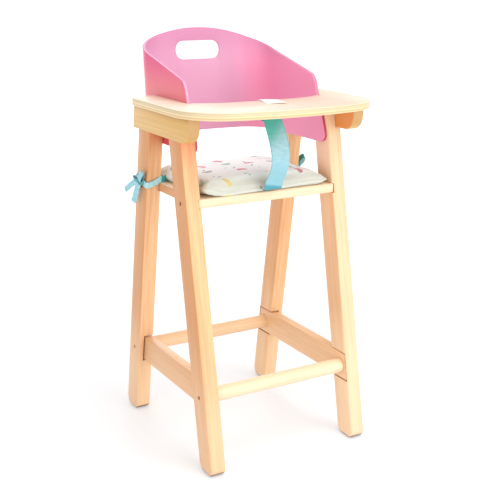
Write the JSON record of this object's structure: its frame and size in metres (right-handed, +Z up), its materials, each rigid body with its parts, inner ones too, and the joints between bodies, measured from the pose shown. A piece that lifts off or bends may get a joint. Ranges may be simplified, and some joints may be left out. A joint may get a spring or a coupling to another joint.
{
  "type": "doll high chair",
  "caption": "Wooden doll's high chair with slanted legs, bent plywood back with hand slot, bow-fronted tray, tied seat cushion and crotch strap.",
  "frame": {"origin": "middle of the bounding box at floor level", "axes": "+Z up, front of the chair (tray) towards -Y, +X to the right of the picture's viewer"},
  "size_m": [0.282, 0.282, 0.558],
  "materials": {
    "beech": "light solid wood, clear satin varnish",
    "plywood": "pale plywood with layered edge, clear satin varnish",
    "pink_lacquer": "pink satin lacquer on bent plywood",
    "printed_cotton": "off-white printed cotton with small motifs",
    "aqua_webbing": "ribbed aqua webbing",
    "aqua_ribbon": "ribbed aqua ribbon",
    "white_tape": "white hook tape",
    "zinc_steel": "zinc-plated steel"
  },
  "bodies": {
    "root": {"front_leg_left": "beech", "rear_leg_left": "beech", "side_rail_left": "beech", "tray_bracket_left": "beech", "rail_screw_front_left": "zinc_steel", "rail_screw_rear_left": "zinc_steel", "seat_screw_front_left": "zinc_steel", "seat_screw_rear_left": "zinc_steel", "shell_screw_front_left": "zinc_steel", "shell_screw_rear_left": "zinc_steel", "tray_screw_front_left": "zinc_steel", "tray_screw_rear_left": "zinc_steel", "tie_band_left": "aqua_ribbon", "tie_bow_left": "aqua_ribbon", "front_leg_right": "beech", "rear_leg_right": "beech", "side_rail_right": "beech", "tray_bracket_right": "beech", "rail_screw_front_right": "zinc_steel", "rail_screw_rear_right": "zinc_steel", "seat_screw_front_right": "zinc_steel", "seat_screw_rear_right": "zinc_steel", "shell_screw_front_right": "zinc_steel", "shell_screw_rear_right": "zinc_steel", "tray_screw_front_right": "zinc_steel", "tray_screw_rear_right": "zinc_steel", "tie_band_right": "aqua_ribbon", "tie_bow_right": "aqua_ribbon", "front_stretcher": "beech", "rear_stretcher": "beech", "seat_board": "beech", "tray": "plywood", "backrest_shell": "pink_lacquer", "seat_cushion": "printed_cotton", "crotch_strap": "aqua_webbing", "strap_tape": "white_tape"}
  },
  "joints": []
}
